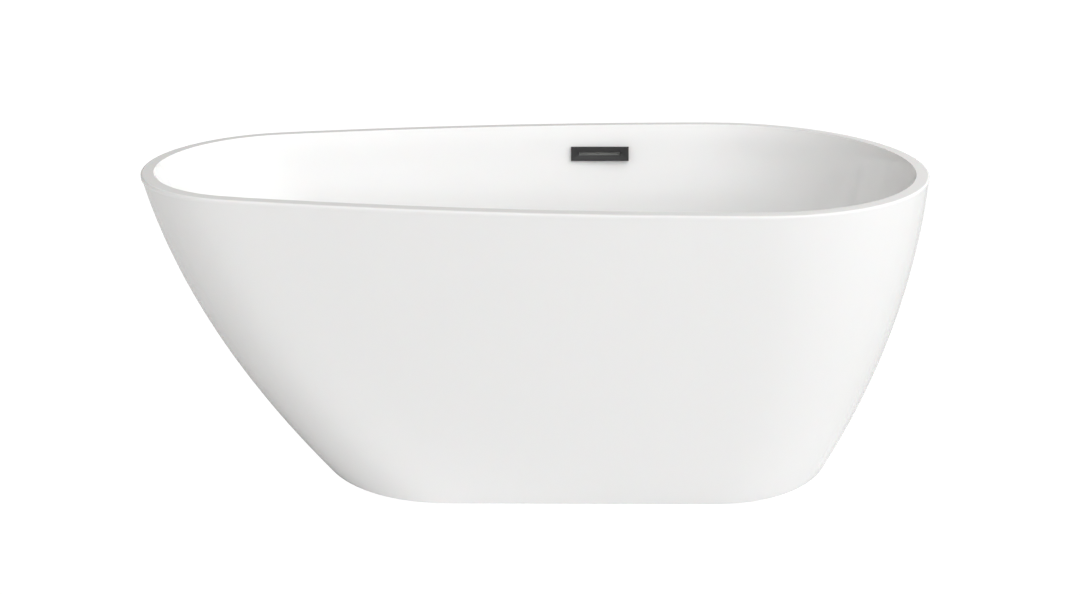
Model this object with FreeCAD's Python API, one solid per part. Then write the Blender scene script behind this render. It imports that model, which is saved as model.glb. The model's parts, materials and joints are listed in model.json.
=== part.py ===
import FreeCAD, Part
import math
import os
from FreeCAD import Vector

# Freestanding acrylic bathtub, egg shaped in plan. Millimetres, +Z up, origin on the floor under the
# middle of the tub. +X runs to the foot end, +Y to the side that carries the overflow.

# ---- overall sizes -------------------------------------------------------------------------------
LENGTH = 1500.0
WIDTH = 750.0
HEIGHT = 600.0
RIM_WIDTH = 23.5
FLOOR_HEIGHT = 150.0          # ground to the inside floor at the foot of the walls
SKIRT_FLOOR_GAP = 3.0

# ---- plan outline: an ellipse at each end, joined by one arc along each side -----------------------
RIM_HEAD_LONG = 260.0         # head ellipse, half length along X
RIM_SHOULDER = 97.0           # head ellipse's half width is this much less than the tub's
RIM_FOOT_LONG = 368.0         # foot ellipse, half length along X
BASE_HEAD_LONG = 272.0
BASE_SHOULDER = 2.0
SHOULDER_CURVE = 0.79         # share of the shoulder's change that grows with the square of the drop
BASE_FOOT_LONG = 258.0
HEAD_STEPS = 8                # points taken along each stretch of one side of the outline
SIDE_STEPS = 10
FOOT_STEPS = 12

# ---- how far the outer wall leans in between the rim and the floor ---------------------------------
HEAD_LEAN = 314.0
FOOT_LEAN = 147.0
SIDE_LEAN = 107.0
HEAD_CURVE = 0.62             # share of the lean that grows with the square of the drop
FOOT_CURVE = 0.88
SIDE_CURVE = 0.70

# ---- inner wall ------------------------------------------------------------------------------------
WELL_LEVELS = 6               # sections taken down the well's wall and the skirt
SKIRT_LEVELS = 8
FLOOR_RADIUS_STEPS = 6
WELL_FLARE = 44.0             # extra inset of the well behind the outer wall, reached at the floor
WELL_FLOOR_RADIUS = 90.0
FLOOR_FALL = 6.0              # the bath floor falls this much to the drain
RIM_EDGE_RADIUS = 3.5
RIM_DEPTH = 8.0               # depth of the rim's outer lip
BASIN_WALL = 4.0
SKIRT_WALL = 4.0
LAMINATE = 2.0
SKIRT_FLANGE_WIDTH = 14.0
SKIRT_LIP_WIDTH = 24.0
LAMINATE_DROP = 26.0          # the basin's laminate starts this far below the rim

# ---- base board and frame --------------------------------------------------------------------------
BOARD_THICKNESS = 12.0
BOARD_MARGIN = 14.0
BOARD_HOLE_CLEARANCE = 10.0   # round the waste's collar
TUBE_HEIGHT = 25.0
TUBE_WIDTH = 25.0
TUBE_WALL = 1.5
TUBE_WALL_CUT = 3.0           # how deep the stud holes go through a tube's lower wall
RAIL_SPACING = 180.0
RAIL_HEAD_SETBACK = 50.0      # ends of the rails, in from the ends of the board
RAIL_FOOT_SETBACK = 22.0
CROSS_SETBACK = 40.0          # end cross members, in from the ends of the rails
CROSS_DRAIN_GAP = 132.0       # middle cross member, towards the head from the drain
CROSS_SIDE_GAP = 73.0         # ends of the cross members, in from the tub's widest at the floor
SCREW_RADIUS = 2.5
SCREW_HEAD_RADIUS = 5.0
SCREW_HEAD_HEIGHT = 3.0
SCREW_BITE = 9.0              # how deep a board screw goes into the board
SCREW_HEAD_ROUND = 1.2
SCREW_CLEARANCE = 0.4

# ---- levelling feet --------------------------------------------------------------------------------
STUD_RADIUS = 6.0
STUD_TOP_CLEARANCE = 6.0
THREAD_CLEARANCE = 0.05
PAD_RADIUS = 24.0
PAD_HEIGHT = 14.0
PAD_TAPER = 9.0
PAD_EDGE_HEIGHT = 4.0
PAD_EDGE_ROUND = 1.5
SOCKET_DEPTH = 8.0
SOCKET_CLEARANCE = 0.08
NUT_ACROSS_FLATS = 19.0
NUT_HEIGHT = 9.0
KEY_ACROSS_FLATS = 9.0
KEY_HEIGHT = 8.0
KEY_GAP = 4.0                 # top of the pad to the flats for the spanner
STUD_CHAMFER = 1.0
NUT_CORNER_SHARE = 0.54       # radius of the nut's turned corners over its width across flats
FOOT_INSET = 22.0             # corner feet sit this far in from the ends of their cross members

# ---- drain -----------------------------------------------------------------------------------------
DRAIN_X = 142.0
FLANGE_RADIUS = 35.0
FLANGE_HEIGHT = 3.0
FLANGE_EDGE_ROUND = 1.5
FLANGE_SEAT_MARGIN = 4.0      # flat floor left round the flange
WASTE_TUBE_RADIUS = 23.0
WASTE_BORE_RADIUS = 20.0
WASTE_THREAD_LENGTH = 38.0
FLOOR_HOLE_CLEARANCE = 1.0
SEAL_THICKNESS = 2.0
SEAL_SETBACK = 2.0            # seals stop this short of the edge that covers them
WASTE_WALL = 4.0
WASTE_COLLAR_RADIUS = 36.0
WASTE_BODY_BOTTOM = 62.0
TAIL_OUTER_RADIUS = 20.0
TAIL_WALL = 1.8
TAIL_BOTTOM = 14.0
TAIL_ENTRY = 12.0
TAIL_SHOWING = 40.0          # plain length below the nut, where the trap or hose is pushed on
TAIL_BEAD_HEIGHT = 1.4        # stop bead between the plain length and the nut
TAIL_BEAD_DEPTH = 1.4
NUT_WALL = 4.0
NUT_RIB_COUNT = 12
NUT_RIB_SHARE = 0.45          # rib radius over the nut's wall

# ---- plug ------------------------------------------------------------------------------------------
PLUG_CAP_RADIUS = 31.0
PLUG_CAP_HEIGHT = 5.0
PLUG_CAP_ROUND = 2.0
PLUG_CAP_GAP = 0.5            # under the closed cap
PLUG_LIFT = 9.0
PLUG_SEAL_RADIUS = 19.6
PLUG_SEAL_HEIGHT = 4.0
STEM_RADIUS = 3.5
STEM_FOOT_HEIGHT = 2.0
STEM_END_PLAY = 0.5
CARTRIDGE_RADIUS = 7.5
CARTRIDGE_LENGTH = 30.0
CARTRIDGE_COLLAR = 1.5        # collar that rests on the hub, wide and high
CARTRIDGE_COLLAR_HEIGHT = 2.0
CARTRIDGE_FLOOR = 2.0
CARTRIDGE_TOP_WALL = 4.0
CHAMBER_CLEARANCE = 0.5       # round the spring
STEM_FOOT_CLEARANCE = 0.3
STEM_CLEARANCE = 0.06
SPRING_RADIUS = 4.6
SPRING_WIRE = 0.8
SPRING_TURNS = 5.0
SPRING_GAP = 0.05             # at each end of the spring
SPIDER_ARM = 3.0
SPIDER_HEIGHT = 6.0
SPIDER_RISE = 4.0             # bottom of the threaded tube to the underside of the spider
SPIDER_ARMS = 3
SPIDER_TURN = 30.0            # angle of the first arm

# ---- overflow --------------------------------------------------------------------------------------
OVERFLOW_DROP = 61.0          # rim to the middle of the cover, straight down
COVER_WIDTH = 126.0
COVER_HEIGHT = 31.0
COVER_DEPTH = 11.0            # front of the cover to the wall behind its middle
COVER_EDGE = 1.6              # flat border round the sloping face
COVER_SLOT_WIDTH = 91.0
COVER_SLOT_HEIGHT = 6.0
COVER_FUNNEL = 3.0            # how deep the sloping face runs in to the slot
COVER_SEAL = 1.0
WALL_SLOT_WIDTH = 92.0
WALL_SLOT_HEIGHT = 12.0
OVERFLOW_SCREW_SPACING = 106.0
OVERFLOW_SCREW_RADIUS = 2.0
OVERFLOW_HEAD_RADIUS = 3.8
OVERFLOW_HEAD_HEIGHT = 2.2
OVERFLOW_SCREW_END = 8.0      # how far the screws reach past the wall's surface into the cover
BACK_PLATE_WIDTH = 118.0
BACK_PLATE_HEIGHT = 24.0
BACK_PLATE_THICKNESS = 3.0
BACK_PLATE_SETBACK = 11.5     # wall surface to the front of the back plate
CHANNEL_WIDTH = 96.0
CHANNEL_DEPTH = 10.0
CHANNEL_WALL = 1.6
NECK_LENGTH = 50.0
NECK_MARGIN = 0.4             # the neck's foot is this much wider than the spigot all round
SPIGOT_WALL = 1.6
SPIGOT_LENGTH = 26.0
PIPE_RADIUS = 11.0
PIPE_WALL = 2.0
PIPE_BEND = 60.0
PIPE_ENTRY = 14.0
PIPE_AXIS_HEIGHT = 88.0
PIPE_CLEARANCE = 0.1
PIPE_SEAL_LENGTH = 2.5
PIPE_NUT_WALL = 2.5
PIPE_NUT_LENGTH = 17.0
PIPE_NUT_GAP = 1.2            # between the top nut and the laminate it hangs behind
INLET_WALL = 3.5
INLET_REACH = 52.0            # how far the waste body's side inlet stands out from the drain's axis

parts = {}


# ---- plan outline ----------------------------------------------------------------------------------
def mix(low, high, share):
    return low + (high - low) * share


def lean(total, curve, drop):
    """Inset of the outer wall at a drop of 0 (rim) to 1 (floor)."""
    return total * ((1.0 - curve) * drop + curve * drop * drop)


def side_arc(head_long, head_wide, half_width, span):
    """Angle on the head ellipse where the side arc leaves it, and that arc's radius.

    The arc is tangent to the ellipse and its crest is `span` towards the foot from the ellipse's centre.
    """
    low = 0.5 * math.pi + 1e-4
    high = math.pi - 0.3
    for _ in range(60):
        angle = 0.5 * (low + high)
        cosine = math.cos(angle)
        sine = math.sin(angle)
        slope = math.hypot(head_wide * cosine, head_long * sine)
        radius = (half_width - head_wide * sine) / (1.0 - head_long * sine / slope)
        reach = head_long * cosine - radius * head_wide * cosine / slope
        if reach > span:
            low = angle
        else:
            high = angle
    return angle, radius


def plan_shape(height):
    """Sizes of the outer outline at a height: both ellipses, the side arc and where it starts."""
    drop = 1.0 - height / HEIGHT
    head = -0.5 * LENGTH + lean(HEAD_LEAN, HEAD_CURVE, drop)
    foot = 0.5 * LENGTH - lean(FOOT_LEAN, FOOT_CURVE, drop)
    half_width = 0.5 * WIDTH - lean(SIDE_LEAN, SIDE_CURVE, drop)
    head_long = mix(RIM_HEAD_LONG, BASE_HEAD_LONG, drop)
    head_wide = half_width - RIM_SHOULDER + lean(RIM_SHOULDER - BASE_SHOULDER, SHOULDER_CURVE, drop)
    foot_long = mix(RIM_FOOT_LONG, BASE_FOOT_LONG, drop)
    head_centre = head + head_long
    foot_centre = foot - foot_long
    angle, radius = side_arc(head_long, head_wide, half_width, foot_centre - head_centre)
    return head_centre, head_long, head_wide, foot_centre, foot_long, half_width, angle, radius


def plan_ends(height):
    """X of the outline's two tips at a height, head end first."""
    shape = plan_shape(height)
    return shape[0] - shape[1], shape[3] + shape[4]


def outline_points(height, inset):
    """Points round the tub's plan at a height, moved inwards by `inset` square to the outline."""
    (head_centre, head_long, head_wide, foot_centre, foot_long,
     half_width, angle, radius) = plan_shape(height)
    sweep = math.asin((foot_centre - head_centre - head_long * math.cos(angle)) / radius)
    half = []
    for i in range(HEAD_STEPS):
        t = mix(math.pi, angle, i / HEAD_STEPS)
        half.append(ellipse_point(head_centre, head_long, head_wide, t))
    for i in range(SIDE_STEPS):
        t = mix(sweep, 0.0, i / SIDE_STEPS)
        normal = (-math.sin(t), math.cos(t))
        half.append((foot_centre + radius * normal[0], half_width + radius * (normal[1] - 1.0), normal))
    for i in range(FOOT_STEPS + 1):
        t = mix(0.5 * math.pi, 0.0, i / FOOT_STEPS)
        half.append(ellipse_point(foot_centre, foot_long, half_width, t))
    points = [Vector(x - inset * n[0], y - inset * n[1], height) for x, y, n in half]
    mirrored = [Vector(p.x, -p.y, p.z) for p in reversed(points[1:-1])]
    return points + mirrored


def ellipse_point(centre, long, wide, angle):
    normal = (wide * math.cos(angle), long * math.sin(angle))
    size = math.hypot(*normal)
    return centre + long * math.cos(angle), wide * math.sin(angle), (normal[0] / size, normal[1] / size)


def side_y(height, inset, x):
    """Y of the +Y side of the outline at a height and inset, anywhere along its side arc."""
    shape = plan_shape(height)
    foot_centre = shape[3]
    half_width = shape[5]
    radius = shape[7]
    return half_width - radius + math.sqrt((radius - inset) ** 2 - (x - foot_centre) ** 2)


def closed_wire(points):
    curve = Part.BSplineCurve()
    curve.interpolate(Points=points, PeriodicFlag=True)
    return Part.Wire([curve.toShape()])


def section(height, inset):
    return closed_wire(outline_points(height, inset))


def loft(wires):
    return Part.makeLoft(wires, True, False)


def slab(height, inset, thickness):
    """Flat slab of the outline at `height`, going up by `thickness`, or down if that is negative."""
    return Part.Face(section(height, inset)).extrude(Vector(0, 0, thickness))


# ---- basin, skirt and their laminates --------------------------------------------------------------
BATH_DEPTH = HEIGHT - FLOOR_HEIGHT
FLOOR_EDGE_INSET = RIM_WIDTH + WELL_FLARE + WELL_FLOOR_RADIUS
BASIN_UNDERSIDE = FLOOR_HEIGHT - BASIN_WALL - FLOOR_FALL
LAMINATE_UNDERSIDE = BASIN_UNDERSIDE - LAMINATE


def well_inset(height):
    """Inset of the well's wall from the outer wall, before the floor radius is added."""
    share = (HEIGHT - height) / BATH_DEPTH
    return RIM_WIDTH + WELL_FLARE * share * (2.0 - share)


def well_sections(skin, top, floor):
    """Sections of the well's surface moved outwards by `skin`, from `top` down to `floor`."""
    radius = WELL_FLOOR_RADIUS + skin
    wires = []
    for i in range(WELL_LEVELS + 1):
        height = mix(top, floor + radius, i / WELL_LEVELS)
        wires.append(section(height, well_inset(height) - skin))
    for i in range(FLOOR_RADIUS_STEPS):
        turn = 0.5 * math.pi * (i + 1) / FLOOR_RADIUS_STEPS
        height = floor + radius * (1.0 - math.sin(turn))
        wires.append(section(height, well_inset(height) - skin + radius * (1.0 - math.cos(turn))))
    return wires


def floor_circle(radius, height):
    """Circle round the drain, sampled in step with the outline so that the two loft cleanly."""
    outline = outline_points(FLOOR_HEIGHT, FLOOR_EDGE_INSET)
    points = []
    for p in outline:
        away = Vector(p.x - DRAIN_X, p.y, 0).normalize()
        points.append(Vector(DRAIN_X + radius * away.x, radius * away.y, height))
    return closed_wire(points)


def skirt_sections(inset, bottom, top):
    return [section(mix(bottom, top, i / SKIRT_LEVELS), inset) for i in range(SKIRT_LEVELS + 1)]


def cylinder(radius, bottom, top, x=DRAIN_X, y=0.0):
    return Part.makeCylinder(radius, top - bottom, Vector(x, y, bottom))


def ring(outer, inner, bottom, top, x=DRAIN_X, y=0.0):
    return cylinder(outer, bottom, top, x, y).cut(cylinder(inner, bottom - 1, top + 1, x, y))


def well_solid(skin, top, floor):
    """The space of the well, or of the well with a skin round it, closed at the top and floor."""
    return loft(well_sections(skin, top, floor))


WELL = well_solid(0.0, HEIGHT, FLOOR_HEIGHT)
BASIN_OUTSIDE = well_solid(BASIN_WALL, HEIGHT - RIM_DEPTH, BASIN_UNDERSIDE)
LAMINATE_OUTSIDE = well_solid(BASIN_WALL + LAMINATE, HEIGHT - LAMINATE_DROP, LAMINATE_UNDERSIDE)
FLANGE_SEAT = FLOOR_HEIGHT - FLOOR_FALL
FLOOR_HOLE_RADIUS = WASTE_TUBE_RADIUS + FLOOR_HOLE_CLEARANCE


def basin():
    fall = Part.makeLoft([section(FLOOR_HEIGHT, FLOOR_EDGE_INSET),
                          floor_circle(FLANGE_RADIUS + FLANGE_SEAT_MARGIN, FLANGE_SEAT)], True, True)
    rim = slab(HEIGHT, 0.0, -RIM_DEPTH)
    rim = rim.makeFillet(RIM_EDGE_RADIUS, [e for e in rim.Edges if e.BoundBox.ZMin > HEIGHT - 1.0])
    solid = rim.fuse(BASIN_OUTSIDE).cut(WELL).cut(fall)
    return solid.cut(cylinder(FLOOR_HOLE_RADIUS, BASIN_UNDERSIDE - 1, FLOOR_HEIGHT)).cut(wall_openings())


def basin_laminate():
    solid = LAMINATE_OUTSIDE.cut(BASIN_OUTSIDE)
    return solid.cut(cylinder(FLOOR_HOLE_RADIUS, LAMINATE_UNDERSIDE - 1, FLOOR_HEIGHT)).cut(wall_openings())


SKIRT_TOP = HEIGHT - RIM_DEPTH
SKIRT_INSIDE_TOP = SKIRT_TOP - SKIRT_WALL
SKIRT_INSIDE_BOTTOM = SKIRT_FLOOR_GAP + SKIRT_WALL
SKIRT_INSIDE = loft(skirt_sections(SKIRT_WALL, SKIRT_INSIDE_BOTTOM, SKIRT_INSIDE_TOP))


def skirt():
    outside = loft(skirt_sections(0.0, SKIRT_FLOOR_GAP, SKIRT_TOP))
    top_opening = slab(SKIRT_TOP, SKIRT_FLANGE_WIDTH, -2 * SKIRT_WALL)
    low_opening = slab(SKIRT_FLOOR_GAP, SKIRT_LIP_WIDTH, 2 * SKIRT_WALL)
    return outside.cut(SKIRT_INSIDE).cut(top_opening).cut(low_opening)


def skirt_laminate():
    inside = loft(skirt_sections(SKIRT_WALL + LAMINATE, SKIRT_INSIDE_BOTTOM, SKIRT_INSIDE_TOP))
    return SKIRT_INSIDE.cut(inside)


# ---- base board and frame --------------------------------------------------------------------------
BOARD_UNDERSIDE = LAMINATE_UNDERSIDE - BOARD_THICKNESS
RAIL_UNDERSIDE = BOARD_UNDERSIDE - TUBE_HEIGHT
CROSS_UNDERSIDE = RAIL_UNDERSIDE - TUBE_HEIGHT
RAIL_Y = (-0.5 * RAIL_SPACING, 0.5 * RAIL_SPACING)
BOARD_INSET = FLOOR_EDGE_INSET + BOARD_MARGIN
RAIL_FROM = plan_ends(FLOOR_HEIGHT)[0] + BOARD_INSET + RAIL_HEAD_SETBACK
RAIL_TO = plan_ends(FLOOR_HEIGHT)[1] - BOARD_INSET - RAIL_FOOT_SETBACK
CROSS_AT = {
    "head": RAIL_FROM + CROSS_SETBACK,
    "middle": DRAIN_X - CROSS_DRAIN_GAP,
    "foot": RAIL_TO - CROSS_SETBACK,
}
CROSS_LENGTH = WIDTH - 2 * (SIDE_LEAN + CROSS_SIDE_GAP)
SHORT_SCREW_X = (0.5 * (CROSS_AT["head"] + CROSS_AT["middle"]),
                 0.5 * (CROSS_AT["middle"] + CROSS_AT["foot"]))


def base_board():
    outline = outline_points(FLOOR_HEIGHT, BOARD_INSET)
    top = closed_wire([Vector(p.x, p.y, LAMINATE_UNDERSIDE) for p in outline])
    board = Part.Face(top).extrude(Vector(0, 0, -BOARD_THICKNESS))
    hole = cylinder(WASTE_COLLAR_RADIUS + BOARD_HOLE_CLEARANCE, BOARD_UNDERSIDE - 1, LAMINATE_UNDERSIDE + 1)
    board = board.cut(hole)
    for x, y, _ in long_screw_places() + short_screw_places():
        board = board.cut(cylinder(SCREW_RADIUS, BOARD_UNDERSIDE - 1, BOARD_UNDERSIDE + SCREW_BITE, x, y))
    return board


def long_screw_places():
    return [(x, y, CROSS_UNDERSIDE) for x in CROSS_AT.values() for y in RAIL_Y]


def short_screw_places():
    return [(x, y, RAIL_UNDERSIDE) for x in SHORT_SCREW_X for y in RAIL_Y]


def screw(x, y, seat):
    shank = cylinder(SCREW_RADIUS, seat, BOARD_UNDERSIDE + SCREW_BITE, x, y)
    head = cylinder(SCREW_HEAD_RADIUS, seat - SCREW_HEAD_HEIGHT, seat, x, y)
    crown = [e for e in head.Edges if e.BoundBox.ZMax < seat - SCREW_HEAD_HEIGHT + 0.1]
    return shank.fuse(head.makeFillet(SCREW_HEAD_ROUND, crown))


def square_tube(length, centre, along):
    """Steel tube, `length` along unit vector `along` (X or Y), its middle at `centre`."""
    outer = tube_block(TUBE_WIDTH, TUBE_HEIGHT, length, centre, along)
    corners = [e for e in outer.Edges if abs(e.tangentAt(0).dot(along)) > 0.9]
    outer = outer.makeFillet(TUBE_WALL, corners)
    bore = tube_block(TUBE_WIDTH - 2 * TUBE_WALL, TUBE_HEIGHT - 2 * TUBE_WALL, length + 2, centre, along)
    return outer.cut(bore)


def tube_block(wide, high, long, centre, along):
    size = (long, wide, high) if along.x else (wide, long, high)
    return Part.makeBox(*size, centre - Vector(*size) * 0.5)


def rail(y):
    centre = Vector(0.5 * (RAIL_FROM + RAIL_TO), y, RAIL_UNDERSIDE + 0.5 * TUBE_HEIGHT)
    tube = square_tube(RAIL_TO - RAIL_FROM, centre, Vector(1, 0, 0))
    for x, screw_y, _ in long_screw_places() + short_screw_places():
        if screw_y == y:
            radius = SCREW_RADIUS + SCREW_CLEARANCE
            tube = tube.cut(cylinder(radius, RAIL_UNDERSIDE - 1, BOARD_UNDERSIDE + 1, x, y))
    return tube


def cross_member(x):
    centre = Vector(x, 0, CROSS_UNDERSIDE + 0.5 * TUBE_HEIGHT)
    tube = square_tube(CROSS_LENGTH, centre, Vector(0, 1, 0))
    for y in RAIL_Y:
        radius = SCREW_RADIUS + SCREW_CLEARANCE
        tube = tube.cut(cylinder(radius, CROSS_UNDERSIDE - 1, RAIL_UNDERSIDE + 1, x, y))
    for foot_x, foot_y in FOOT_AT.values():
        if foot_x == x:
            radius = STUD_RADIUS + SCREW_CLEARANCE
            top = CROSS_UNDERSIDE + TUBE_WALL_CUT
            tube = tube.cut(cylinder(radius, CROSS_UNDERSIDE - 1, top, foot_x, foot_y))
    return tube


# ---- levelling feet --------------------------------------------------------------------------------
FOOT_Y = 0.5 * CROSS_LENGTH - FOOT_INSET
FOOT_AT = {
    "head_front": (CROSS_AT["head"], -FOOT_Y),
    "head_back": (CROSS_AT["head"], FOOT_Y),
    "foot_front": (CROSS_AT["foot"], -FOOT_Y),
    "foot_back": (CROSS_AT["foot"], FOOT_Y),
    "middle": (CROSS_AT["middle"], 0.0),
}


def hexagon(across_flats, bottom, top, x, y):
    corner = across_flats / math.sqrt(3.0)
    points = [Vector(x + corner * math.cos(math.radians(60 * i)),
                     y + corner * math.sin(math.radians(60 * i)), bottom) for i in range(7)]
    return Part.Face(Part.makePolygon(points)).extrude(Vector(0, 0, top - bottom))


def foot_pad(x, y):
    base = cylinder(PAD_RADIUS, 0.0, PAD_EDGE_HEIGHT, x, y)
    cone = Part.makeCone(PAD_RADIUS, PAD_RADIUS - PAD_TAPER, PAD_HEIGHT - PAD_EDGE_HEIGHT,
                         Vector(x, y, PAD_EDGE_HEIGHT))
    pad = base.fuse(cone).removeSplitter()
    pad = pad.makeFillet(PAD_EDGE_ROUND, [e for e in pad.Edges if e.BoundBox.ZMax < 0.1])
    return pad.cut(cylinder(STUD_RADIUS + SOCKET_CLEARANCE, PAD_HEIGHT - SOCKET_DEPTH, PAD_HEIGHT + 1, x, y))


def foot_stud(x, y):
    bottom = PAD_HEIGHT - SOCKET_DEPTH
    top = RAIL_UNDERSIDE - TUBE_WALL - STUD_TOP_CLEARANCE
    stud = Part.makeCylinder(STUD_RADIUS, top - bottom, Vector(x, y, bottom))
    stud = stud.makeChamfer(STUD_CHAMFER, [e for e in stud.Edges if e.BoundBox.ZMin > top - 0.1])
    key_bottom = PAD_HEIGHT + KEY_GAP
    key_top = key_bottom + KEY_HEIGHT
    around = cylinder(STUD_RADIUS + 1, key_bottom, key_top, x, y)
    return stud.cut(around.cut(hexagon(KEY_ACROSS_FLATS, key_bottom - 1, key_top + 1, x, y)))


def foot_nut(x, y, top):
    nut = hexagon(NUT_ACROSS_FLATS, top - NUT_HEIGHT, top, x, y)
    nut = nut.common(cylinder(NUT_CORNER_SHARE * NUT_ACROSS_FLATS, top - NUT_HEIGHT, top, x, y))
    return nut.cut(cylinder(STUD_RADIUS + THREAD_CLEARANCE, top - NUT_HEIGHT - 1, top + 1, x, y))


# ---- drain -----------------------------------------------------------------------------------------
FLANGE_UNDERSIDE = FLANGE_SEAT + SEAL_THICKNESS
COLLAR_TOP = LAMINATE_UNDERSIDE - SEAL_THICKNESS
THREAD_BOTTOM = FLANGE_UNDERSIDE - WASTE_THREAD_LENGTH
HUB_TOP = THREAD_BOTTOM + SPIDER_RISE + SPIDER_HEIGHT
TAIL_TOP = WASTE_BODY_BOTTOM + TAIL_ENTRY
SPIGOT_OUTER = TAIL_OUTER_RADIUS + WASTE_WALL
INLET_BORE = PIPE_RADIUS + PIPE_CLEARANCE
INLET_OUTER = INLET_BORE + INLET_WALL


def drain_flange():
    top = FLANGE_UNDERSIDE + FLANGE_HEIGHT
    lip = cylinder(FLANGE_RADIUS, FLANGE_UNDERSIDE, top)
    lip = lip.makeFillet(FLANGE_EDGE_ROUND, [e for e in lip.Edges if e.BoundBox.ZMin > top - 0.1])
    flange = lip.fuse(cylinder(WASTE_TUBE_RADIUS, THREAD_BOTTOM, FLANGE_UNDERSIDE + 1))
    flange = flange.cut(cylinder(WASTE_BORE_RADIUS, THREAD_BOTTOM - 1, top + 1))
    bottom = HUB_TOP - SPIDER_HEIGHT
    spider = cylinder(CARTRIDGE_RADIUS + SPIDER_ARM, bottom, HUB_TOP)
    for i in range(SPIDER_ARMS):
        arm = Part.makeBox(WASTE_TUBE_RADIUS - 1.0, SPIDER_ARM, SPIDER_HEIGHT,
                           Vector(DRAIN_X, -0.5 * SPIDER_ARM, bottom))
        arm.rotate(Vector(DRAIN_X, 0, 0), Vector(0, 0, 1), 360.0 * i / SPIDER_ARMS + SPIDER_TURN)
        spider = spider.fuse(arm)
    flange = flange.fuse(spider)
    return flange.cut(cylinder(CARTRIDGE_RADIUS, bottom - 1, HUB_TOP + 1))


def waste_body():
    body = cylinder(WASTE_COLLAR_RADIUS, COLLAR_TOP - WASTE_WALL, COLLAR_TOP)
    body = body.fuse(cylinder(WASTE_TUBE_RADIUS + WASTE_WALL, TAIL_TOP, COLLAR_TOP))
    body = body.fuse(cylinder(SPIGOT_OUTER, WASTE_BODY_BOTTOM, TAIL_TOP + 1))
    inlet_end = Vector(DRAIN_X, 0, PIPE_AXIS_HEIGHT)
    body = body.fuse(Part.makeCylinder(INLET_OUTER, INLET_REACH, inlet_end, Vector(0, 1, 0)))
    body = body.cut(cylinder(WASTE_TUBE_RADIUS + THREAD_CLEARANCE, THREAD_BOTTOM, COLLAR_TOP + 1))
    body = body.cut(cylinder(TAIL_OUTER_RADIUS - TAIL_WALL, WASTE_BODY_BOTTOM - 1, THREAD_BOTTOM + 1))
    body = body.cut(cylinder(TAIL_OUTER_RADIUS + PIPE_CLEARANCE, WASTE_BODY_BOTTOM - 1, TAIL_TOP))
    return body.cut(Part.makeCylinder(INLET_BORE, INLET_REACH + 1, inlet_end, Vector(0, 1, 0)))


def tailpiece():
    bead_bottom = TAIL_BOTTOM + TAIL_SHOWING
    bead = cylinder(TAIL_OUTER_RADIUS + TAIL_BEAD_DEPTH, bead_bottom, bead_bottom + TAIL_BEAD_HEIGHT)
    pipe = cylinder(TAIL_OUTER_RADIUS, TAIL_BOTTOM, TAIL_TOP).fuse(bead)
    return pipe.cut(cylinder(TAIL_OUTER_RADIUS - TAIL_WALL, TAIL_BOTTOM - 1, TAIL_TOP + 1))


def ribbed_nut(spigot, pipe, wall, length, lip):
    """Compression nut on +Z: its mouth at z = 0 faces down over the spigot, its lip is at the top."""
    outer = Part.makeCylinder(spigot + wall, length)
    rib_at = Vector(spigot + wall, 0, 0)
    for i in range(NUT_RIB_COUNT):
        rib = Part.makeCylinder(NUT_RIB_SHARE * wall, length, rib_at)
        rib.rotate(Vector(0, 0, 0), Vector(0, 0, 1), 360.0 * i / NUT_RIB_COUNT)
        outer = outer.fuse(rib)
    outer = outer.cut(Part.makeCylinder(spigot + THREAD_CLEARANCE, length - lip))
    return outer.cut(Part.makeCylinder(pipe + PIPE_CLEARANCE, length + 1))


def pipe_seal(spigot, pipe):
    return Part.makeCylinder(spigot, PIPE_SEAL_LENGTH).cut(Part.makeCylinder(pipe, PIPE_SEAL_LENGTH))


def aimed(shape, place, direction):
    """The shape moved so that its +Z runs along `direction` from `place`."""
    shape.Placement = FreeCAD.Placement(place, FreeCAD.Rotation(Vector(0, 0, 1), direction))
    return shape


def joint_set(name, spigot, pipe, wall, mouth, outwards):
    """Seal and nut at a spigot whose end face is at `mouth` and points `outwards`."""
    parts[name + "_seal"] = aimed(pipe_seal(spigot, pipe), mouth, outwards)
    lip = wall
    cover = PIPE_NUT_LENGTH - lip - PIPE_SEAL_LENGTH
    parts[name + "_nut"] = aimed(ribbed_nut(spigot, pipe, wall, PIPE_NUT_LENGTH, lip),
                                 mouth - outwards * cover, outwards)


# ---- plug ------------------------------------------------------------------------------------------
CAP_UNDERSIDE = FLANGE_UNDERSIDE + FLANGE_HEIGHT + PLUG_CAP_GAP
CARTRIDGE_TOP = HUB_TOP + CARTRIDGE_COLLAR_HEIGHT
CARTRIDGE_BOTTOM = CARTRIDGE_TOP - CARTRIDGE_LENGTH
CHAMBER_RADIUS = SPRING_RADIUS + 0.5 * SPRING_WIRE + CHAMBER_CLEARANCE
CHAMBER_BOTTOM = CARTRIDGE_BOTTOM + CARTRIDGE_FLOOR
CHAMBER_TOP = CARTRIDGE_TOP - CARTRIDGE_TOP_WALL
STEM_FOOT_RADIUS = CHAMBER_RADIUS - STEM_FOOT_CLEARANCE
STEM_BOTTOM = CHAMBER_TOP - PLUG_LIFT - STEM_FOOT_HEIGHT - STEM_END_PLAY


def plug_cap():
    top = CAP_UNDERSIDE + PLUG_CAP_HEIGHT
    cap = cylinder(PLUG_CAP_RADIUS, CAP_UNDERSIDE, top)
    return cap.makeFillet(PLUG_CAP_ROUND, [e for e in cap.Edges if e.BoundBox.ZMin > top - 0.1])


def plug_seal():
    top = CAP_UNDERSIDE
    seal = cylinder(PLUG_SEAL_RADIUS, top - PLUG_SEAL_HEIGHT, top)
    return seal.cut(cylinder(STEM_RADIUS, top - PLUG_SEAL_HEIGHT - 1, top + 1))


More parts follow.
